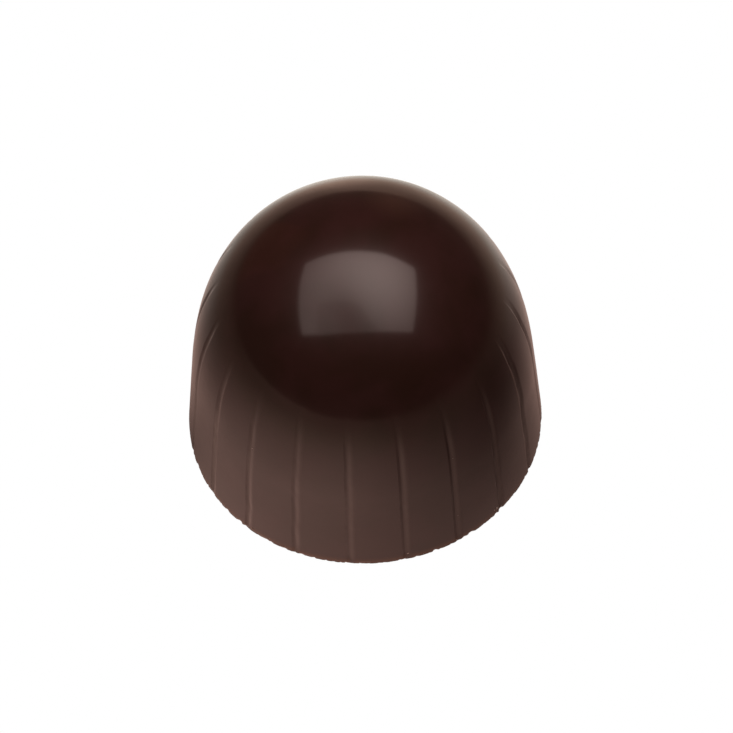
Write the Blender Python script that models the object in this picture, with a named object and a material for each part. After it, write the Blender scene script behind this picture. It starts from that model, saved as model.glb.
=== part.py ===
"""A moulded dark chocolate praline: a round bonbon with a steep fluted side and a smooth domed top.

Metres, +Z up. The origin is the centre of the flat foot, on the surface that the praline rests on.
"""

import math

import bmesh
import bpy

# The foot, and the outline that is turned about the upright axis.
FOOT_RADIUS = 0.0140
DRAFT_ANGLE = math.radians(5.4)  # how far the straight lower side leans inwards
STRAIGHT_SIDE = 0.0078  # slant height of the straight lower side
SHOULDER_RADIUS = 0.0431  # radius of curvature where the side starts to bend
BEND_ANGLE = math.radians(7.3)  # turn over which the bend tightens towards the crown's radius

# The fine grooves, which run up the side and die out below the dome.
GROOVE_COUNT = 20
FIRST_GROOVE = math.radians(-6.6)  # turned from -Y towards +X
GROOVE_WIDTH = 0.0006
GROOVE_DEPTH = 0.00012
GROOVE_TOP = 0.0166
GROOVE_RUN_OUT = 0.0030  # height over which a groove gets shallower to nothing

# The fineness of the faceted solid.
PANEL_COLUMNS = 3  # strips between two grooves
SIDE_ROWS = 4
DOME_ROWS = 26
ROW_CROWDING = 1.35  # above 1, the dome's rows lie closer together low down, where it is steep and long
SHARP_EDGE = math.radians(30)

CHOCOLATE_COLOUR = (0.020, 0.008, 0.006, 1.0)
CHOCOLATE_ROUGHNESS = 0.28


def clear_objects():
    for old in list(bpy.data.objects):
        bpy.data.objects.remove(old, do_unlink=True)


def inward_share(angle):
    """Integral of the fading part of the bend times sin(angle): its share of the way inwards."""
    fading = math.exp((DRAFT_ANGLE - angle) / BEND_ANGLE)
    scale = BEND_ANGLE / (1.0 + BEND_ANGLE**2)
    return -scale * (math.sin(angle) + BEND_ANGLE * math.cos(angle)) * fading


def upward_share(angle):
    """Integral of the fading part of the bend times cos(angle): its share of the way up."""
    fading = math.exp((DRAFT_ANGLE - angle) / BEND_ANGLE)
    scale = BEND_ANGLE / (1.0 + BEND_ANGLE**2)
    return scale * (BEND_ANGLE * math.sin(angle) - math.cos(angle)) * fading


def crown_radius():
    """Radius of the crown that brings the outline to the axis just as it turns level."""
    half_turn = math.pi / 2
    way_in = FOOT_RADIUS - STRAIGHT_SIDE * math.sin(DRAFT_ANGLE)
    fading = inward_share(half_turn) - inward_share(DRAFT_ANGLE)
    return (way_in - SHOULDER_RADIUS * fading) / (math.cos(DRAFT_ANGLE) - fading)


def dome_point(angle):
    """Radius and height where the surface has turned to face this far above level."""
    crown = crown_radius()
    extra = SHOULDER_RADIUS - crown
    radius = FOOT_RADIUS - STRAIGHT_SIDE * math.sin(DRAFT_ANGLE)
    radius -= crown * (math.cos(DRAFT_ANGLE) - math.cos(angle))
    radius -= extra * (inward_share(angle) - inward_share(DRAFT_ANGLE))
    height = STRAIGHT_SIDE * math.cos(DRAFT_ANGLE)
    height += crown * (math.sin(angle) - math.sin(DRAFT_ANGLE))
    height += extra * (upward_share(angle) - upward_share(DRAFT_ANGLE))
    return radius, height


def outline():
    """Radius, height and facing angle of each row of points, from the foot's edge to the top."""
    rows = []
    for row in range(SIDE_ROWS):
        slant = STRAIGHT_SIDE * row / SIDE_ROWS
        radius = FOOT_RADIUS - slant * math.sin(DRAFT_ANGLE)
        rows.append((radius, slant * math.cos(DRAFT_ANGLE), DRAFT_ANGLE))
    for row in range(DOME_ROWS + 1):
        part = (row / DOME_ROWS) ** ROW_CROWDING
        angle = DRAFT_ANGLE + (math.pi / 2 - DRAFT_ANGLE) * part
        radius, height = dome_point(angle)
        rows.append((radius, height, angle))
    rows[-1] = (0.0, rows[-1][1], math.pi / 2)
    return rows


def column_steps():
    """Turns from one column of points to the next, over one groove and the panel after it."""
    half_groove = GROOVE_WIDTH / 2 / FOOT_RADIUS
    panel = 2 * math.pi / GROOVE_COUNT - 2 * half_groove
    return [half_groove, *[panel / PANEL_COLUMNS] * PANEL_COLUMNS, half_groove]


def groove_share(height):
    """How much of its full depth a groove has at this height."""
    left = (GROOVE_TOP - height) / GROOVE_RUN_OUT
    left = min(max(left, 0.0), 1.0)
    return left * left * (3.0 - 2.0 * left)


def turned_body(rows):
    """The outline turned in uneven steps, so that each groove has a column for its floor and rims."""
    shape = bmesh.new()
    front = (math.sin(FIRST_GROOVE), -math.cos(FIRST_GROOVE))
    points = [shape.verts.new((front[0] * r, front[1] * r, z)) for r, z, _ in rows]
    last = [shape.edges.new(pair) for pair in zip(points, points[1:])] + points
    for step in column_steps() * GROOVE_COUNT:
        spun = bmesh.ops.spin(
            shape, geom=last, cent=(0, 0, 0), axis=(0, 0, 1), angle=step, steps=1
        )
        last = spun["geom_last"]
    bmesh.ops.remove_doubles(shape, verts=shape.verts[:], dist=1e-6)
    return shape


def cut_grooves(shape, rows):
    """Moves the floor column of each groove inwards, square to the surface."""
    spacing = 2 * math.pi / GROOVE_COUNT
    facing = {round(z, 6): angle for _, z, angle in rows}
    for point in shape.verts:
        share = groove_share(point.co.z)
        around = math.atan2(point.co.x, -point.co.y) - FIRST_GROOVE
        off_floor = abs((around + spacing / 2) % spacing - spacing / 2)
        if share == 0.0 or off_floor > 1e-3:
            continue
        angle = facing[round(point.co.z, 6)]
        depth = GROOVE_DEPTH * share
        outward = point.co.xy.normalized()
        point.co.xy -= outward * depth * math.cos(angle)
        if point.co.z > 1e-6:
            point.co.z -= depth * math.sin(angle)


def chocolate():
    material = bpy.data.materials.new("dark_chocolate")
    material.use_nodes = True
    shader = material.node_tree.nodes["Principled BSDF"]
    shader.inputs["Base Color"].default_value = CHOCOLATE_COLOUR
    shader.inputs["Roughness"].default_value = CHOCOLATE_ROUGHNESS
    shader.inputs["Metallic"].default_value = 0.0
    return material


def praline():
    rows = outline()
    shape = turned_body(rows)
    cut_grooves(shape, rows)
    foot_edge = [edge for edge in shape.edges if edge.is_boundary]
    bmesh.ops.contextual_create(shape, geom=foot_edge)
    bmesh.ops.recalc_face_normals(shape, faces=shape.faces[:])
    mesh = bpy.data.meshes.new("praline")
    shape.to_mesh(mesh)
    shape.free()
    mesh.materials.append(chocolate())
    mesh.shade_smooth()
    mesh.set_sharp_from_angle(angle=SHARP_EDGE)
    body = bpy.data.objects.new("praline", mesh)
    bpy.context.scene.collection.objects.link(body)
    return body


clear_objects()
praline()
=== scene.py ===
"""The moulded dark chocolate praline, dressed: fine surface, finish, studio and camera."""

import math
import random

import bmesh
import bpy
from mathutils import Matrix, Vector, noise


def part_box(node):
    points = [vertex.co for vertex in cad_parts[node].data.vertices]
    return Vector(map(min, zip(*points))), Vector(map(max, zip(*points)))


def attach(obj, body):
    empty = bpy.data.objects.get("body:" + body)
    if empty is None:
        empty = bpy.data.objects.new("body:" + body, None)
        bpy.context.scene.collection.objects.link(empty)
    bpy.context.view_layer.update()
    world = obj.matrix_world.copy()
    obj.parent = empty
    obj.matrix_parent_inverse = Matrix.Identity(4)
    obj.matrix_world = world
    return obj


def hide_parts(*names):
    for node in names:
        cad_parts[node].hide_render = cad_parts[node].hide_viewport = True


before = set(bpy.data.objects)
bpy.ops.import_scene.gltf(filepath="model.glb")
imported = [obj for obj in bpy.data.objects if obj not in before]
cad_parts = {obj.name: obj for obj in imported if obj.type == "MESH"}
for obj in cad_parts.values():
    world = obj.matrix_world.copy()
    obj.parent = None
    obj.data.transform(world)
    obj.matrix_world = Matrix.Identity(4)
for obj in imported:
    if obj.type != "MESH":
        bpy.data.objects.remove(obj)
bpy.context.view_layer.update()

# The outline, which is turned about the upright axis.
LOW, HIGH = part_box("praline")
FOOT_RADIUS = (HIGH.x - LOW.x) / 2
DRAFT_ANGLE = math.radians(5.4)
STRAIGHT_SIDE = 0.557 * FOOT_RADIUS
SHOULDER_RADIUS = 3.079 * FOOT_RADIUS
BEND_ANGLE = math.radians(7.3)

# The fine grooves in the side.
GROOVE_COUNT = 20
SECTOR = 2 * math.pi / GROOVE_COUNT
FIRST_GROOVE = math.radians(-6.6)  # turned from -Y towards +X
GROOVE_WIDTH = 0.00068
GROOVE_SHIFT = 0.00005  # the groove reaches further to the right of its line than to the left
GROOVE_DEPTH = 0.00011
GROOVE_WALL = 0.25  # share of the width that the steep left wall takes up
LEFT_GROOVE_WALL = 0.60  # the same share at the left of the praline, where that wall is gentler
WALL_CHANGE_FROM = -0.006
WALL_CHANGE_TO = -0.012
GROOVE_FOOT_REACH = 0.0008
GROOVE_FOOT_SHARE = 0.35  # share of the depth that is left at the foot's edge

# The tops of the grooves, where they get shallower to nothing.
GROOVE_TOP = 0.0168
GROOVE_TOP_SPREAD = 0.0010
TOP_BIAS = 0.3
TOP_STEP = 3.7
GROOVE_RUN_OUT = 0.0060
SIDE_RUN_OUT = 0.0030  # the same on the left and the right, where the grooves end more sharply
SIDES_FROM = math.radians(50)  # turn from the front at which the sides begin
SIDES_TO = math.radians(70)
BACK_TOP_RISE = 0.0006  # how much higher the grooves reach towards the back
BACK_FROM = -0.003
BACK_TO = 0.0

# How a groove strays from a straight line. The rates are in waves per metre of height.
GROOVE_WOBBLE = 0.00012
WOBBLE_RATE = 500
WOBBLE_STEP = 5.1
FINE_WOBBLE = 0.4  # as a share of the wobble
FINE_WOBBLE_RATE = 1700

# The wear along the foot's edge. The rates are in waves per metre.
WEAR_HEIGHT = 0.0003
WEAR_DEPTH = 0.00014
CHIP_SHARE = 0.9
CHIP_RATE = 3300
DIP_SHARE = 0.5
DIP_RATE = 800
NICKS = tuple(math.radians(turn) for turn in (47.3, 34, 21, -46, -72))
NICK_REACH = 0.0003

# The slight waviness that the mould leaves.
WAVE_SIZE = 0.0050
WAVE_DEPTH = 0.00002

# How finely each stretch is divided. A band is its columns and the radius that it goes in to.
START_PLANE = 0.001
MERGE_REACH = 1e-6
GROOVE_COLUMNS = 16
PANEL_COLUMNS = 28
ROW_STEP = 0.00024
EDGE_ROW_STEP = 0.00006
EDGE_BAND = 0.0005
SIDE_TOP = 0.0174
DOME_BANDS = ((440, 0.0072), (220, 0.0040), (110, 0.0018), (55, 0.0006))
FOOT_BANDS = ((880, 0.0134), (220, 0.0080), (55, 0.0020))
FOOT_ROW_STEP = 0.0006
SHARP_EDGE = math.radians(55)
HALVINGS = 40

# Crumbs left by scraping the mould: turn from -Y towards +X in degrees, height and size.
CRUMBS = (
    (45.6, 0.00060, 0.00016),
    (55.2, 0.00020, 0.00008),
    (29.9, 0.00300, 0.00007),
    (11.9, 0.00060, 0.00009),
    (28.5, 0.00020, 0.00008),
    (17.0, 0.00011, 0.00008),
    (-40.6, 0.00030, 0.00009),
    (-29.0, 0.00012, 0.00008),
    (-41.7, 0.01010, 0.00006),
    (30.0, 0.01002, 0.00005),
)
CRUMB_SEED = 5
LOOSE_CRUMBS = 36
LOOSE_CRUMB_BAND = 0.0009
LOOSE_CRUMB_SIZE = (0.00002, 0.00006)
CRUMB_SHAPE = ((0.6, 1.0), (0.15, 0.25), (0.9, 1.5))  # least and greatest width, thickness, height
CRUMB_LEAN = ((-0.1, 0.1), (-0.8, 0.8))
CRUMB_ROUGH_SIZE = 0.00012
CRUMB_ROUGH_DEPTH = 0.00002

# Tempered chocolate, in slightly lighter and darker patches under a gloss coat.
CHOCOLATE_DARK = (0.0265, 0.0108, 0.0078, 1.0)
CHOCOLATE_LIGHT = (0.0345, 0.0132, 0.0115, 1.0)
PATCH_SCALE = 260
PATCH_ENDS = (0.35, 0.65)
NOISE_DETAIL = 3.0
REFRACTION = 1.5
SPECULAR = 0.16
POLISH_SCALE = 190
POLISH = (0.32, 0.40)
COAT = 0.7
COAT_ROUGHNESS = 0.12
GRAIN_SCALE = 1500
GRAIN_STRENGTH = 0.15
GRAIN_DEPTH = 0.00002

# A paler patch on top, and a paler band along the foot's edge.
PALE_TOP_PLACE = (0.0028, 0.0045, 0.0216)
PALE_TOP_REACH = 0.0030
PALE_TOP_COLOUR = (0.050, 0.023, 0.017, 1.0)
# Painted glow: the paler orange band along the foot's edge stands in for light coming through the
# thin edge.
EDGE_GLOW_HEIGHT = 0.0008
EDGE_GLOW_COLOUR = (0.092, 0.037, 0.012, 1.0)
FOOT_FADE = (0.00001, 0.00005)

# Painted sheen: paler colour on the grooves' wide walls, standing in for their brighter
# reflection. The fade and top heights serve all the grooves' marks.
PAINTED_SHEEN_SHIFT = 0.00014
PAINTED_SHEEN_REACH = 0.00034
PAINTED_SHEEN_COLOUR = (0.066, 0.043, 0.037, 1.0)
GROOVE_MARK_FADE = 0.0112
GROOVE_MARK_TOP = 0.0152
SIDE_MARK_RISE = 0.0019  # how much higher the grooves' marks reach on the left and the right

# Painted highlight along the grooves' lips: the left lip on the right side, the right lip on the
# left side.
LIP_GLINT_SHIFT = 0.00034
LIP_GLINT_REACH = 0.00013
LIP_GLINT_COLOUR = (0.170, 0.108, 0.088, 1.0)

# Painted reflection: low down on the left, the whole groove is paler.
LOW_SHIFT = -0.00006
LOW_REACH = 0.00026
LOW_FROM = 0.0085
LOW_TO = 0.0115
LOW_TURN_FROM = math.radians(-60)
LOW_TURN_TO = math.radians(-30)
LOW_REFLECTION_COLOUR = (0.125, 0.103, 0.092, 1.0)

# The steep walls, which are dull towards the right, and the flat foot, which is dull all over.
WALL_SHIFT = -0.00021
WALL_REACH = 0.00016
DULL_FROM = -0.002
DULL_TO = 0.006
DULL_COAT = 0.3
DULL_ROUGHNESS = 0.12

# Broken chocolate, for the crumbs.
CRUMB_DARK = (0.140, 0.110, 0.095, 1.0)
CRUMB_PALE = (0.480, 0.430, 0.390, 1.0)
CRUMB_PATCH_SCALE = 4000
CRUMB_PATCH_ENDS = (0.40, 0.62)
CRUMB_ROUGHNESS = 0.62
CRUMB_GRAIN_SCALE = 20000
CRUMB_GRAIN_STRENGTH = 0.4
CRUMB_GRAIN_DEPTH = 0.00001

# The photograph's view.
SENSOR = 36.0
LENS = 173.2
NEAREST_SEEN = 0.005
CAMERA_DISTANCE = 20 * FOOT_RADIUS
CAMERA_ELEVATION = math.radians(55.83)
CAMERA_ROLL = math.radians(2.2)
CAMERA_AIM = Vector((0.00025, 0.0, 0.0065))

# The white sheet on the floor, and its tint near the praline, behind it and far from it.
FLOOR_RADIUS = 0.6
FLOOR_LEVEL = -0.00002
FLOOR_SIDES = 128
SHEET_COLOUR = (1.0, 0.62, 0.52, 1.0)
BACK_SHEET_COLOUR = (1.0, 0.93, 0.83, 1.0)
BACK_SHEET_REACH = 0.035
FAR_SHEET_COLOUR = (0.90, 0.60, 0.46, 1.0)
FAR_SHEET_NEAR_END = 0.027
FAR_SHEET_FAR_END = 0.056

# Pools of light and shade on the sheet: brightness, centre, turn and size.
POOLS = (
    (0.890, (-0.0040, -0.0010, 0.0), math.radians(-34), (0.0357, 0.0751, 1.0)),
    (0.485, (-0.0052, 0.0453, 0.0), math.radians(-89), (0.1200, 0.0141, 1.0)),
    (0.539, (0.0100, 0.3127, 0.0), math.radians(-2), (0.118, 0.442, 1.0)),
    (0.402, (-0.189, -0.170, 0.0), math.radians(-17), (0.300, 0.180, 1.0)),
    (-0.687, (0.0031, -0.0002, 0.0), math.radians(-12), (0.0586, 0.0259, 1.0)),
    (-0.810, (-0.0101, -0.0014, 0.0), 0.0, (0.0080, 0.0080, 1.0)),
    (-0.07, (0.0165, -0.0115, 0.0), 0.0, (0.0080, 0.0080, 1.0)),
    (-0.08, (0.0290, 0.0110, 0.0), 0.0, (0.0100, 0.0100, 1.0)),
)

# The softbox overhead, brighter below its lamp and shaded on one side, with a scrim below it.
SHEET_START = 0.05
SOFTBOX_HEIGHT = 0.10
SOFTBOX_CORNERS = (
    (0.0240, 0.0372),
    (-0.0610, 0.0435),
    (-0.0885, -0.0540),
    (0.0695, -0.0565),
    (0.0620, 0.0275),
)
SOFTBOX_COLOUR = (1.0, 0.80, 0.74, 1.0)
SOFTBOX_POWER = 4.1
LAMP_CENTRE = (0.0068, 0.0072, SOFTBOX_HEIGHT)
LAMP_REACH = 0.0823
LAMP_EDGE = 0.38  # brightness at the end of the lamp's reach, as a share of that at its centre
SHADE_CENTRE = (-0.0119, -0.0341, SOFTBOX_HEIGHT)
SOFTBOX_SHADE = (-0.613, SHADE_CENTRE, math.radians(25), (0.0377, 0.0647, 1.0))
SCRIM_HEIGHT = 0.0995
SCRIM_CORNERS = (
    (-0.0150, -0.0160),
    (-0.0470, -0.0145),
    (-0.0530, -0.0350),
    (-0.0600, -0.0550),
    (0.0235, -0.0555),
    (0.0095, -0.0390),
    (0.0030, -0.0280),
    (-0.0030, -0.0200),
)
SCRIM_SHARE = 0.80  # brightness of the scrim as a share of the softbox behind it

# The dim warm card at the back on the left, and the dark room beyond.
CARD_PLACE = (-0.174, 0.180, 0.090)
CARD_TURN = math.radians(44)
CARD_WIDTH = 0.130
CARD_HEIGHT = 0.180
CARD_GLOW = (0.120, 0.036, 0.027, 1.0)
ROOM_GLOW = (0.012, 0.012, 0.012, 1.0)
WHITE = (1.0, 1.0, 1.0, 1.0)


# Small helpers


def pick(thing):
    bpy.ops.object.select_all(action="DESELECT")
    bpy.context.view_layer.objects.active = thing
    thing.select_set(True)


def edit(thing):
    pick(thing)
    bpy.ops.object.mode_set(mode="EDIT")


def leave_edit():
    bpy.ops.object.mode_set(mode="OBJECT")


def settle(thing):
    """Puts the piece's place into its mesh, so that the object itself sits at the origin."""
    pick(thing)
    bpy.ops.object.transform_apply(location=True, rotation=True, scale=True)


def apply_modifiers(thing):
    pick(thing)
    for modifier in list(thing.modifiers):
        bpy.ops.object.modifier_apply(modifier=modifier.name)


def outward(turn):
    """Level direction away from the axis, at this turn from -Y towards +X."""
    return Vector((math.sin(turn), -math.cos(turn), 0.0))


def smooth_step(share):
    share = min(max(share, 0.0), 1.0)
    return share * share * (3.0 - 2.0 * share)


# The outline


def inward_share(angle):
    """Integral of the fading part of the bend times sin(angle)."""
    fading = math.exp((DRAFT_ANGLE - angle) / BEND_ANGLE)
    scale = BEND_ANGLE / (1.0 + BEND_ANGLE**2)
    return -scale * (math.sin(angle) + BEND_ANGLE * math.cos(angle)) * fading


def upward_share(angle):
    """Integral of the fading part of the bend times cos(angle)."""
    fading = math.exp((DRAFT_ANGLE - angle) / BEND_ANGLE)
    scale = BEND_ANGLE / (1.0 + BEND_ANGLE**2)
    return scale * (BEND_ANGLE * math.sin(angle) - math.cos(angle)) * fading


def crown_radius():
    """Radius of the crown that brings the outline to the axis just as it turns level."""
    way_in = FOOT_RADIUS - STRAIGHT_SIDE * math.sin(DRAFT_ANGLE)
    fading = inward_share(math.pi / 2) - inward_share(DRAFT_ANGLE)
    return (way_in - SHOULDER_RADIUS * fading) / (math.cos(DRAFT_ANGLE) - fading)


CROWN_RADIUS = crown_radius()


def dome_point(angle):
    """Radius and height where the surface faces this far above level."""
    extra = SHOULDER_RADIUS - CROWN_RADIUS
    radius = FOOT_RADIUS - STRAIGHT_SIDE * math.sin(DRAFT_ANGLE)
    radius -= CROWN_RADIUS * (math.cos(DRAFT_ANGLE) - math.cos(angle))
    radius -= extra * (inward_share(angle) - inward_share(DRAFT_ANGLE))
    height = STRAIGHT_SIDE * math.cos(DRAFT_ANGLE)
    height += CROWN_RADIUS * (math.sin(angle) - math.sin(DRAFT_ANGLE))
    height += extra * (upward_share(angle) - upward_share(DRAFT_ANGLE))
    return radius, height


def next_angle(angle, step):
    """The facing angle one step further along the dome."""
    fading = math.exp((DRAFT_ANGLE - angle) / BEND_ANGLE)
    bend = CROWN_RADIUS + (SHOULDER_RADIUS - CROWN_RADIUS) * fading
    return min(angle + step / bend, math.pi / 2)


def side_rows():
    """Radius and height of each row of the side, and the angle that the dome goes on from."""
    rows = []
    slant = 0.0
    while slant < STRAIGHT_SIDE:
        rows.append((FOOT_RADIUS - slant * math.sin(DRAFT_ANGLE), slant * math.cos(DRAFT_ANGLE)))
        slant += EDGE_ROW_STEP if slant < EDGE_BAND else ROW_STEP
    angle = DRAFT_ANGLE
    while dome_point(angle)[1] < SIDE_TOP:
        rows.append(dome_point(angle))
        angle = next_angle(angle, ROW_STEP)
    rows.append(dome_point(angle))
    return rows, angle


# The body


def start_at_edge(turn):
    """A small plane at the foot's edge, drawn together to one point."""
    place = (FOOT_RADIUS * math.sin(turn), -FOOT_RADIUS * math.cos(turn), 0.0)
    bpy.ops.object.select_all(action="DESELECT")
    bpy.ops.mesh.primitive_plane_add(size=START_PLANE, location=place)
    body = bpy.context.object
    body.name = "praline_body"
    body.data.name = "praline_body"
    settle(body)
    edit(body)
    bpy.ops.mesh.select_all(action="SELECT")
    bpy.ops.mesh.merge(type="CENTER")
    return body


def draw_outline(rows, turn):
    """Extrudes the one selected point from row to row."""
    for (radius, height), (next_radius, next_height) in zip(rows, rows[1:]):
        step = next_radius - radius
        way = (step * math.sin(turn), -step * math.cos(turn), next_height - height)
        bpy.ops.mesh.extrude_vertices_move(TRANSFORM_OT_translate={"value": way})


def spin(steps, angle, copies=False):
    bpy.ops.mesh.spin(
        steps=steps, angle=angle, dupli=copies, center=(0, 0, 0), axis=(0, 0, 1)
    )


def turn_side():
    """Spins the outline over one groove and one panel, then copies that sector all round."""
    groove = GROOVE_WIDTH / FOOT_RADIUS
    bpy.ops.mesh.select_all(action="SELECT")
    spin(GROOVE_COLUMNS, groove)
    spin(PANEL_COLUMNS, SECTOR - groove)
    bpy.ops.mesh.select_all(action="SELECT")
    spin(GROOVE_COUNT - 1, (GROOVE_COUNT - 1) * SECTOR, copies=True)
    bpy.ops.mesh.select_all(action="SELECT")
    bpy.ops.mesh.remove_doubles(threshold=MERGE_REACH)


def select_rings(body, *rings):
    """Selects the edges that lie on these circles, each a radius and a height."""
    bpy.ops.mesh.select_all(action="DESELECT")
    shape = bmesh.from_edit_mesh(body.data)

    def on_ring(point):
        radius = math.hypot(point.co.x, point.co.y)
        return any(
            abs(radius - r) < MERGE_REACH and abs(point.co.z - z) < MERGE_REACH for r, z in rings
        )

    for point in shape.verts:
        point.select = on_ring(point)
    shape.select_flush(True)
    bmesh.update_edit_mesh(body.data)


def bridge_to(body, last_ring, columns, ring):
    """Adds a coarser ring and joins it to the last one. The new ring is left selected."""
    radius, height = ring
    bpy.ops.mesh.primitive_circle_add(vertices=columns, radius=radius, location=(0, 0, height))
    select_rings(body, last_ring, ring)
    bpy.ops.mesh.bridge_edge_loops()
    select_rings(body, ring)


def widen_ring(ring, next_ring):
    """Extrudes the selected ring to the next radius and height."""
    rise = (0, 0, next_ring[1] - ring[1])
    bpy.ops.mesh.extrude_edges_move(TRANSFORM_OT_translate={"value": rise})
    share = next_ring[0] / ring[0]
    bpy.ops.transform.resize(value=(share, share, 1), center_override=(0, 0, next_ring[1]))


def close_ring(height):
    """Extrudes the selected ring and draws it together at the axis."""
    bpy.ops.mesh.extrude_edges_move(TRANSFORM_OT_translate={"value": (0, 0, 0)})
    bpy.ops.mesh.merge(type="CENTER")
    bpy.ops.transform.translate(value=(0, 0, height))


def close_dome(body, last_ring, angle):
    """Carries the side on to the top, in bands that have fewer columns towards the axis."""
    for columns, inner in DOME_BANDS:
        angle = next_angle(angle, ROW_STEP)
        ring = dome_point(angle)
        bridge_to(body, last_ring, columns, ring)
        while ring[0] > inner:
            angle = next_angle(angle, ROW_STEP)
            next_ring = dome_point(angle)
            widen_ring(ring, next_ring)
            ring = next_ring
        last_ring = ring
    close_ring(dome_point(math.pi / 2)[1] - last_ring[1])


def select_open_edges():
    """Selects the edges that have no face on one side or on both."""
    bpy.ops.mesh.select_all(action="DESELECT")
    bpy.ops.mesh.select_non_manifold(
        use_multi_face=False, use_non_contiguous=False, use_verts=False
    )


def flatten_edge():
    """Brings the foot's edge back to the level of the surface that it rests on."""
    select_open_edges()
    bpy.ops.transform.resize(value=(1, 1, 0), center_override=(0, 0, 0))


def close_foot():
    """The flat foot, in bands that have fewer columns towards the axis."""
    radius = FOOT_RADIUS
    for columns, inner in FOOT_BANDS:
        select_open_edges()
        if radius < FOOT_RADIUS:
            radius -= FOOT_ROW_STEP
            bpy.ops.mesh.primitive_circle_add(vertices=columns, radius=radius)
            select_open_edges()
            bpy.ops.mesh.bridge_edge_loops()
            select_open_edges()
        while radius > inner:
            widen_ring((radius, 0.0), (radius - FOOT_ROW_STEP, 0.0))
            radius -= FOOT_ROW_STEP
    close_ring(0.0)


def groove_strays(number, height):
    """How far a groove lies beside its straight line at this height."""
    slow = noise.noise(Vector((number * WOBBLE_STEP, height * WOBBLE_RATE, 0.7)))
    quick = noise.noise(Vector((number * WOBBLE_STEP, height * FINE_WOBBLE_RATE, 9.7)))
    return GROOVE_WOBBLE * slow + GROOVE_WOBBLE * FINE_WOBBLE * quick


def groove_share(number, turn, point):
    """The share of its full depth that a groove has at this height."""
    uneven = noise.noise(Vector((number * TOP_STEP, 0.5, 0.5))) + TOP_BIAS
    top = GROOVE_TOP - GROOVE_TOP_SPREAD * uneven
    top += BACK_TOP_RISE * smooth_step((point.y - BACK_FROM) / (BACK_TO - BACK_FROM))
    sideness = smooth_step((abs(turn) - SIDES_FROM) / (SIDES_TO - SIDES_FROM))
    run_out = GROOVE_RUN_OUT + (SIDE_RUN_OUT - GROOVE_RUN_OUT) * sideness
    near_foot = smooth_step(point.z / GROOVE_FOOT_REACH)
    foot_share = GROOVE_FOOT_SHARE + (1.0 - GROOVE_FOOT_SHARE) * near_foot
    return smooth_step((top - point.z) / run_out) * foot_share


def groove_weight(point):
    """The groove's depth here, as a share of its full depth."""
    turn = math.atan2(point.x, -point.y) - FIRST_GROOVE
    number = math.floor(turn / SECTOR + 0.5)
    aside = (turn - number * SECTOR) * math.hypot(point.x, point.y)
    aside += groove_strays(number, point.z)
    across = (aside - GROOVE_SHIFT) / GROOVE_WIDTH + 0.5
    if not 0.0 < across < 1.0:
        return 0.0
    deep = groove_share(number, turn + FIRST_GROOVE, point)
    leftness = smooth_step((point.x - WALL_CHANGE_FROM) / (WALL_CHANGE_TO - WALL_CHANGE_FROM))
    wall = GROOVE_WALL + (LEFT_GROOVE_WALL - GROOVE_WALL) * leftness
    if across < wall:
        return deep * smooth_step(across / wall)
    return deep * (1.0 - across) / (1.0 - wall)


def wear_weight(point):
    """How far the foot's edge is worn back here."""
    if point.z > WEAR_HEIGHT:
        return 0.0
    turn = math.atan2(point.x, -point.y)
    worn = CHIP_SHARE * max(noise.noise(point * CHIP_RATE), 0.0)
    worn += DIP_SHARE * max(noise.noise(point * DIP_RATE), 0.0)
    for nick in NICKS:
        worn += smooth_step(1.0 - abs(turn - nick) * FOOT_RADIUS / NICK_REACH)
    return (1.0 - max(point.z, 0.0) / WEAR_HEIGHT) ** 2 * min(worn, 1.0)


def displace(body, name, weight_of, strength):
    """Moves the surface along its normal by a weight that each point is given."""
    group = body.vertex_groups.new(name=name)
    for point in body.data.vertices:
        weight = weight_of(point.co)
        if weight > 0.0:
            group.add([point.index], weight, "REPLACE")
    modifier = body.modifiers.new(name, "DISPLACE")
    modifier.vertex_group = name
    modifier.direction = "NORMAL"
    modifier.mid_level = 0.0
    modifier.strength = strength
    apply_modifiers(body)
    body.vertex_groups.remove(body.vertex_groups[name])


def add_waves(body):
    """The slight waviness of the surface, which unsettles the reflections."""
    waves = bpy.data.textures.new("mould_waves", "CLOUDS")
    waves.noise_scale = WAVE_SIZE
    waves.noise_basis = "IMPROVED_PERLIN"
    waves.noise_depth = 0
    group = body.vertex_groups.new(name="waves")
    for point in body.data.vertices:
        group.add([point.index], smooth_step(point.co.z / WAVE_SIZE), "REPLACE")
    modifier = body.modifiers.new("waves", "DISPLACE")
    modifier.texture = waves
    modifier.texture_coords = "LOCAL"
    modifier.vertex_group = "waves"
    modifier.strength = WAVE_DEPTH * 2
    apply_modifiers(body)
    body.vertex_groups.remove(body.vertex_groups["waves"])


def make_body():
    turn = FIRST_GROOVE + (GROOVE_SHIFT - GROOVE_WIDTH / 2) / FOOT_RADIUS
    rows, angle = side_rows()
    body = start_at_edge(turn)
    draw_outline(rows, turn)
    turn_side()
    close_dome(body, rows[-1], angle)
    bpy.ops.mesh.select_all(action="SELECT")
    bpy.ops.mesh.normals_make_consistent(inside=False)
    leave_edit()
    displace(body, "grooves", groove_weight, -GROOVE_DEPTH)
    displace(body, "wear", wear_weight, -WEAR_DEPTH)
    add_waves(body)
    edit(body)
    flatten_edge()
    close_foot()
    bpy.ops.mesh.select_all(action="SELECT")
    bpy.ops.mesh.normals_make_consistent(inside=False)
    leave_edit()
    pick(body)
    bpy.ops.object.shade_smooth_by_angle(angle=SHARP_EDGE)
    return body


# The crumbs


def side_radius(height):
    """Radius of the smooth surface at this height."""
    if height < STRAIGHT_SIDE * math.cos(DRAFT_ANGLE):
        return FOOT_RADIUS - height * math.tan(DRAFT_ANGLE)
    low, high = DRAFT_ANGLE, math.pi / 2
    for _ in range(HALVINGS):
        middle = (low + high) / 2
        if dome_point(middle)[1] < height:
            low = middle
        else:
            high = middle
    return dome_point(low)[0]


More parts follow.
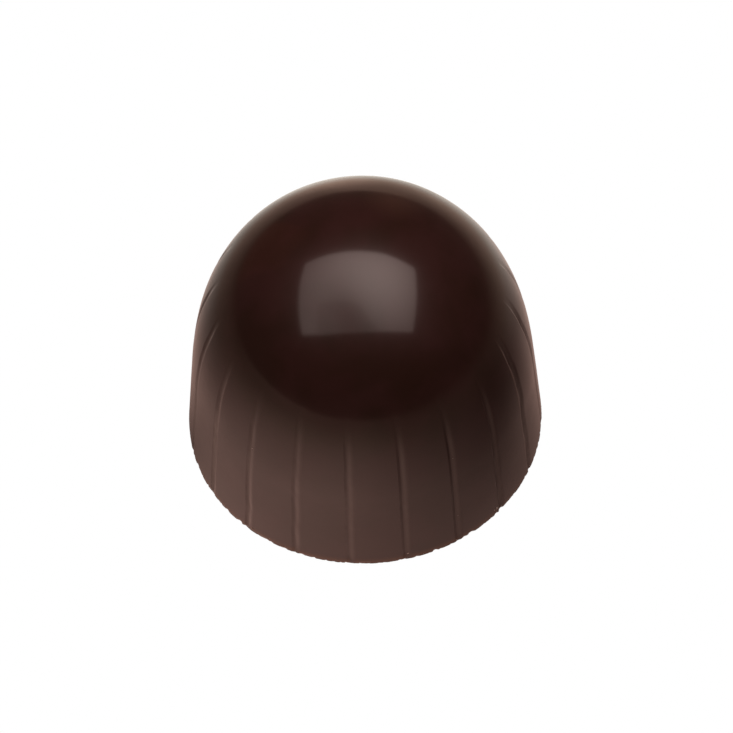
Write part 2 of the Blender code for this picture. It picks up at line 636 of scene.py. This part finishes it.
def crumb_places():
    """Turn, height and size of each crumb: the larger ones, then those along the foot."""
    draw = random.Random(CRUMB_SEED)
    places = [(math.radians(turn), height, size) for turn, height, size in CRUMBS]
    for _ in range(LOOSE_CRUMBS):
        turn = draw.uniform(-math.pi, math.pi)
        size = draw.uniform(*LOOSE_CRUMB_SIZE)
        places.append((turn, size + LOOSE_CRUMB_BAND * draw.random() ** 2, size))
    return places


def add_crumb(turn, height, size, draw):
    """One thin flake, which lies on the surface and is partly sunk in it."""
    place = outward(turn) * side_radius(height)
    place.z = height
    place -= GROOVE_DEPTH * groove_weight(place) * outward(turn)
    shape = tuple(draw.uniform(*ends) for ends in CRUMB_SHAPE)
    lean = (*(draw.uniform(*ends) for ends in CRUMB_LEAN), turn)
    bpy.ops.mesh.primitive_ico_sphere_add(
        subdivisions=2, radius=size, location=place, rotation=lean, scale=shape
    )


def make_crumbs():
    draw = random.Random(CRUMB_SEED + 1)
    places = crumb_places()
    bpy.ops.object.select_all(action="DESELECT")
    add_crumb(*places[0], draw)
    crumbs = bpy.context.object
    crumbs.name = "scraping_crumbs"
    crumbs.data.name = "scraping_crumbs"
    settle(crumbs)
    edit(crumbs)
    for place in places[1:]:
        bpy.ops.mesh.select_all(action="DESELECT")
        add_crumb(*place, draw)
    leave_edit()
    rough = bpy.data.textures.new("broken_chocolate", "CLOUDS")
    rough.noise_scale = CRUMB_ROUGH_SIZE
    modifier = crumbs.modifiers.new("broken", "DISPLACE")
    modifier.texture = rough
    modifier.texture_coords = "LOCAL"
    modifier.strength = CRUMB_ROUGH_DEPTH
    apply_modifiers(crumbs)
    return crumbs


# The finish


def link(material, source, target):
    material.node_tree.links.new(source, target)


def node(material, kind, **values):
    made = material.node_tree.nodes.new(kind)
    for name, value in values.items():
        setattr(made, name, value)
    return made


def object_place(material):
    """The piece's own coordinates."""
    return node(material, "ShaderNodeTexCoord").outputs["Object"]


def object_noise(material, scale):
    made = node(material, "ShaderNodeTexNoise")
    made.inputs["Scale"].default_value = scale
    made.inputs["Detail"].default_value = NOISE_DETAIL
    link(material, object_place(material), made.inputs["Vector"])
    return made.outputs["Fac"]


def spread(material, source, first, last, low, high):
    """Maps the stretch from first to last softly onto the stretch from low to high."""
    made = node(material, "ShaderNodeMapRange", interpolation_type="SMOOTHSTEP")
    made.inputs["From Min"].default_value = first
    made.inputs["From Max"].default_value = last
    made.inputs["To Min"].default_value = low
    made.inputs["To Max"].default_value = high
    link(material, source, made.inputs["Value"])
    return made.outputs["Result"]


def calc(material, operation, *parts):
    """One step of arithmetic, of numbers or of other nodes' values."""
    made = node(material, "ShaderNodeMath", operation=operation)
    for number, part in enumerate(parts):
        if isinstance(part, (int, float)):
            made.inputs[number].default_value = part
        else:
            link(material, part, made.inputs[number])
    return made.outputs["Value"]


def object_side(material, axis):
    """One of the piece's own coordinates."""
    sides = node(material, "ShaderNodeSeparateXYZ")
    link(material, object_place(material), sides.inputs["Vector"])
    return sides.outputs[axis]


def turn_about_axis(material):
    """Turn of a point about the upright axis, from -Y towards +X."""
    behind = calc(material, "MULTIPLY", object_side(material, "Y"), -1.0)
    return calc(material, "ARCTAN2", object_side(material, "X"), behind)


def groove_mask(material, shift, near, far):
    """1 within the near distance of each groove's line and 0 beyond the far one or the top."""
    turn = turn_about_axis(material)
    line = calc(material, "SUBTRACT", turn, FIRST_GROOVE + shift / FOOT_RADIUS)
    aside = calc(material, "WRAP", line, -SECTOR / 2, SECTOR / 2)
    away = calc(material, "MULTIPLY", calc(material, "ABSOLUTE", aside), FOOT_RADIUS)
    across = spread(material, away, near, far, 1.0, 0.0)
    aback = calc(material, "ABSOLUTE", turn)
    higher = spread(material, aback, SIDES_FROM, SIDES_TO, 0.0, SIDE_MARK_RISE)
    level = calc(material, "SUBTRACT", object_side(material, "Z"), higher)
    rise = spread(material, level, GROOVE_MARK_FADE, GROOVE_MARK_TOP, 1.0, 0.0)
    return calc(material, "MULTIPLY", across, rise)


def lip_glint_mask(material):
    """1 along the lips that face the front, on the left and the right, where a highlight is
    painted, and 0 on the rest.
    """
    to_right = spread(material, turn_about_axis(material), SIDES_FROM, SIDES_TO, 0.0, 1.0)
    to_left = spread(material, turn_about_axis(material), -SIDES_TO, -SIDES_FROM, 1.0, 0.0)
    left_lip = groove_mask(material, -LIP_GLINT_SHIFT, 0.0, LIP_GLINT_REACH)
    right_lip = groove_mask(material, LIP_GLINT_SHIFT, 0.0, LIP_GLINT_REACH)
    right = calc(material, "MULTIPLY", to_right, left_lip)
    return calc(material, "MULTIPLY_ADD", to_left, right_lip, right)


def low_reflection_mask(material):
    """1 in the low part of the grooves on the left, where a reflection is painted, and 0 on the
    rest.
    """
    low = spread(material, object_side(material, "Z"), LOW_FROM, LOW_TO, 1.0, 0.0)
    left = spread(material, turn_about_axis(material), LOW_TURN_FROM, LOW_TURN_TO, 1.0, 0.0)
    groove = groove_mask(material, LOW_SHIFT, 0.0, LOW_REACH)
    return calc(material, "MULTIPLY", calc(material, "MULTIPLY", low, left), groove)


def away_from(material, centre):
    """Distance from this point, in the piece's own coordinates."""
    away = node(material, "ShaderNodeVectorMath", operation="DISTANCE")
    away.inputs[1].default_value = centre
    link(material, object_place(material), away.inputs[0])
    return away.outputs["Value"]


def foot_mask(material):
    """1 on the flat foot and 0 on the rest."""
    return spread(material, object_side(material, "Z"), *FOOT_FADE, 1.0, 0.0)


def two_colours(material, first, second, factor):
    """A mix of two colours, each a plain colour or another node's."""
    made = node(material, "ShaderNodeMix", data_type="RGBA")
    for name, colour in (("A", first), ("B", second)):
        if isinstance(colour, tuple):
            made.inputs[name].default_value = colour
        else:
            link(material, colour, made.inputs[name])
    link(material, factor, made.inputs["Factor"])
    return made.outputs["Result"]


def add_bump(material, shader, height, strength, distance):
    bump = node(material, "ShaderNodeBump")
    bump.inputs["Strength"].default_value = strength
    bump.inputs["Distance"].default_value = distance
    link(material, height, bump.inputs["Height"])
    link(material, bump.outputs["Normal"], shader.inputs["Normal"])


def chocolate_colour(material):
    """The patchy brown, with a paler patch on top, painted glow along the foot's edge, and painted
    sheen, reflection and highlights on the grooves.
    """
    patches = spread(material, object_noise(material, PATCH_SCALE), *PATCH_ENDS, 0.0, 1.0)
    colour = two_colours(material, CHOCOLATE_DARK, CHOCOLATE_LIGHT, patches)
    # A paler patch near the top.
    pale_top = spread(material, away_from(material, PALE_TOP_PLACE), 0.0, PALE_TOP_REACH, 1.0, 0.0)
    colour = two_colours(material, colour, PALE_TOP_COLOUR, pale_top)
    # Painted glow along the foot's edge.
    edge_glow = spread(material, object_side(material, "Z"), 0.0, EDGE_GLOW_HEIGHT, 1.0, 0.0)
    colour = two_colours(material, colour, EDGE_GLOW_COLOUR, edge_glow)
    # Painted sheen: paler colour on the grooves' wide walls for their brighter reflection.
    painted_sheen = groove_mask(material, PAINTED_SHEEN_SHIFT, 0.0, PAINTED_SHEEN_REACH)
    colour = two_colours(material, colour, PAINTED_SHEEN_COLOUR, painted_sheen)
    # Painted reflection low in the grooves on the left.
    colour = two_colours(material, colour, LOW_REFLECTION_COLOUR, low_reflection_mask(material))
    # Painted highlight along the lips at the sides.
    return two_colours(material, colour, LIP_GLINT_COLOUR, lip_glint_mask(material))


def dull_mask(material):
    """1 on the steep walls towards the right and on the flat foot, and 0 on the rest."""
    wall = groove_mask(material, WALL_SHIFT, WALL_REACH / 2, WALL_REACH)
    right = spread(material, object_side(material, "X"), DULL_FROM, DULL_TO, 0.0, 1.0)
    dull_walls = calc(material, "MULTIPLY", wall, right)
    return calc(material, "MAXIMUM", dull_walls, foot_mask(material))


def tempered_chocolate():
    material = bpy.data.materials.new("tempered_dark_chocolate")
    material.use_nodes = True
    shader = material.node_tree.nodes["Principled BSDF"]
    link(material, chocolate_colour(material), shader.inputs["Base Color"])
    dull = dull_mask(material)
    polish = spread(material, object_noise(material, POLISH_SCALE), *PATCH_ENDS, *POLISH)
    matte = calc(material, "MULTIPLY_ADD", dull, DULL_ROUGHNESS, polish)
    link(material, matte, shader.inputs["Roughness"])
    coat = spread(material, dull, 0.0, 1.0, COAT, DULL_COAT)
    link(material, coat, shader.inputs["Coat Weight"])
    shader.inputs["IOR"].default_value = REFRACTION
    shader.inputs["Specular IOR Level"].default_value = SPECULAR
    shader.inputs["Coat Roughness"].default_value = COAT_ROUGHNESS
    grain = object_noise(material, GRAIN_SCALE)
    add_bump(material, shader, grain, GRAIN_STRENGTH, GRAIN_DEPTH)
    return material


def broken_chocolate():
    material = bpy.data.materials.new("broken_dark_chocolate")
    material.use_nodes = True
    shader = material.node_tree.nodes["Principled BSDF"]
    speckle = object_noise(material, CRUMB_PATCH_SCALE)
    patches = spread(material, speckle, *CRUMB_PATCH_ENDS, 0.0, 1.0)
    colour = two_colours(material, CRUMB_DARK, CRUMB_PALE, patches)
    link(material, colour, shader.inputs["Base Color"])
    shader.inputs["Roughness"].default_value = CRUMB_ROUGHNESS
    grain = object_noise(material, CRUMB_GRAIN_SCALE)
    add_bump(material, shader, grain, CRUMB_GRAIN_STRENGTH, CRUMB_GRAIN_DEPTH)
    return material


# The studio


def glow(material, colour, strength):
    made = node(material, "ShaderNodeEmission")
    made.inputs["Color"].default_value = colour
    made.inputs["Strength"].default_value = strength
    return made


def pool_of_light(material, strength, centre, turn, size):
    """Brightness that fades outwards from a centre, over an oval of this size."""
    oval = node(material, "ShaderNodeMapping", vector_type="TEXTURE")
    oval.inputs["Location"].default_value = centre
    oval.inputs["Rotation"].default_value = (0.0, 0.0, turn)
    oval.inputs["Scale"].default_value = size
    link(material, object_place(material), oval.inputs["Vector"])
    square = node(material, "ShaderNodeVectorMath", operation="DOT_PRODUCT")
    link(material, oval.outputs["Vector"], square.inputs[0])
    link(material, oval.outputs["Vector"], square.inputs[1])
    away = calc(material, "ADD", square.outputs["Value"], 1.0)
    fade = calc(material, "POWER", away, -2.0)
    return calc(material, "MULTIPLY", fade, strength)


def sheet_brightness(material):
    """The pools of light and shade together, nowhere below nothing."""
    whole = pool_of_light(material, *POOLS[0])
    for pool in POOLS[1:]:
        whole = calc(material, "ADD", whole, pool_of_light(material, *pool))
    return calc(material, "MAXIMUM", whole, 0.0)


def sheet_tint(material):
    """The sheet's colour, which changes towards the back and with the distance."""
    back = spread(material, object_side(material, "Y"), 0.0, BACK_SHEET_REACH, 0.0, 1.0)
    near = two_colours(material, SHEET_COLOUR, BACK_SHEET_COLOUR, back)
    away = away_from(material, (0, 0, 0))
    far = spread(material, away, FAR_SHEET_NEAR_END, FAR_SHEET_FAR_END, 0.0, 1.0)
    return two_colours(material, near, FAR_SHEET_COLOUR, far)


def make_floor():
    """A sheet that looks plain white, and that the chocolate mirrors as pools of light."""
    bpy.ops.object.select_all(action="DESELECT")
    bpy.ops.mesh.primitive_circle_add(
        vertices=FLOOR_SIDES, radius=FLOOR_RADIUS, fill_type="NGON", location=(0, 0, FLOOR_LEVEL)
    )
    floor = bpy.context.object
    floor.name = "studio_floor"
    settle(floor)
    material = bpy.data.materials.new("white_sheet")
    material.use_nodes = True
    material.node_tree.nodes.clear()
    sheet = glow(material, SHEET_COLOUR, 1.0)
    link(material, sheet_tint(material), sheet.inputs["Color"])
    link(material, sheet_brightness(material), sheet.inputs["Strength"])
    white = glow(material, WHITE, 1.0)
    rays = node(material, "ShaderNodeLightPath")
    both = node(material, "ShaderNodeMixShader")
    link(material, rays.outputs["Is Camera Ray"], both.inputs["Fac"])
    link(material, sheet.outputs["Emission"], both.inputs[1])
    link(material, white.outputs["Emission"], both.inputs[2])
    out = node(material, "ShaderNodeOutputMaterial")
    link(material, both.outputs["Shader"], out.inputs["Surface"])
    floor.data.materials.append(material)


def hang_light(name, corners, height, power):
    """A level sheet of light with these corners, brighter below its lamp."""
    bpy.ops.object.select_all(action="DESELECT")
    bpy.ops.mesh.primitive_circle_add(
        vertices=len(corners), radius=SHEET_START, fill_type="NGON", location=(0, 0, height)
    )
    sheet = bpy.context.object
    sheet.name = name
    settle(sheet)
    for point, (x, y) in zip(sheet.data.vertices, corners):
        point.co = (x, y, height)
    material = bpy.data.materials.new(name + "_glow")
    material.use_nodes = True
    material.node_tree.nodes.clear()
    lamp = glow(material, SOFTBOX_COLOUR, power)
    away = away_from(material, LAMP_CENTRE)
    bright = spread(material, away, 0.0, LAMP_REACH, power, power * LAMP_EDGE)
    shade = calc(material, "ADD", 1.0, pool_of_light(material, *SOFTBOX_SHADE))
    link(material, calc(material, "MULTIPLY", bright, shade), lamp.inputs["Strength"])
    out = node(material, "ShaderNodeOutputMaterial")
    link(material, lamp.outputs["Emission"], out.inputs["Surface"])
    sheet.data.materials.append(material)
    sheet.visible_camera = False


def make_softbox():
    hang_light("overhead_softbox", SOFTBOX_CORNERS, SOFTBOX_HEIGHT, SOFTBOX_POWER)
    hang_light("softbox_scrim", SCRIM_CORNERS, SCRIM_HEIGHT, SOFTBOX_POWER * SCRIM_SHARE)


def stand_card():
    """A dim warm card at the back on the left, which the shoulder reflects."""
    bpy.ops.object.select_all(action="DESELECT")
    bpy.ops.mesh.primitive_plane_add(
        size=1.0, location=CARD_PLACE, rotation=(math.pi / 2, 0, CARD_TURN)
    )
    card = bpy.context.object
    card.name = "warm_card"
    card.scale = (CARD_WIDTH, CARD_HEIGHT, 1.0)
    settle(card)
    material = bpy.data.materials.new("warm_card_glow")
    material.use_nodes = True
    material.node_tree.nodes.clear()
    out = node(material, "ShaderNodeOutputMaterial")
    link(material, glow(material, CARD_GLOW, 1.0).outputs["Emission"], out.inputs["Surface"])
    card.data.materials.append(material)
    card.visible_camera = False


def make_world():
    world = bpy.data.worlds.new("studio_room")
    bpy.context.scene.world = world
    world.use_nodes = True
    nodes = world.node_tree.nodes
    links = world.node_tree.links
    nodes.clear()
    dark = nodes.new("ShaderNodeBackground")
    dark.inputs["Color"].default_value = ROOM_GLOW
    pale = nodes.new("ShaderNodeBackground")
    pale.inputs["Color"].default_value = WHITE
    rays = nodes.new("ShaderNodeLightPath")
    both = nodes.new("ShaderNodeMixShader")
    out = nodes.new("ShaderNodeOutputWorld")
    links.new(rays.outputs["Is Camera Ray"], both.inputs["Fac"])
    links.new(dark.outputs["Background"], both.inputs[1])
    links.new(pale.outputs["Background"], both.inputs[2])
    links.new(both.outputs["Shader"], out.inputs["Surface"])


def make_camera():
    data = bpy.data.cameras.new("camera")
    data.sensor_width = SENSOR
    data.lens = LENS
    data.clip_start = NEAREST_SEEN
    camera = bpy.data.objects.new("camera", data)
    bpy.context.scene.collection.objects.link(camera)
    back = Vector((0, -math.cos(CAMERA_ELEVATION), math.sin(CAMERA_ELEVATION)))
    camera.location = back * CAMERA_DISTANCE
    look = (camera.location - CAMERA_AIM).to_track_quat("Z", "Y")
    camera.rotation_euler = (look.to_matrix() @ Matrix.Rotation(-CAMERA_ROLL, 3, "Z")).to_euler()
    bpy.context.scene.camera = camera


body = make_body()
body.data.materials.append(tempered_chocolate())
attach(body, "root")
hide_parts("praline")
crumbs = make_crumbs()
crumbs.data.materials.append(broken_chocolate())
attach(crumbs, "root")
make_floor()
make_softbox()
stand_card()
make_world()
make_camera()
bpy.context.scene.view_settings.view_transform = "Standard"
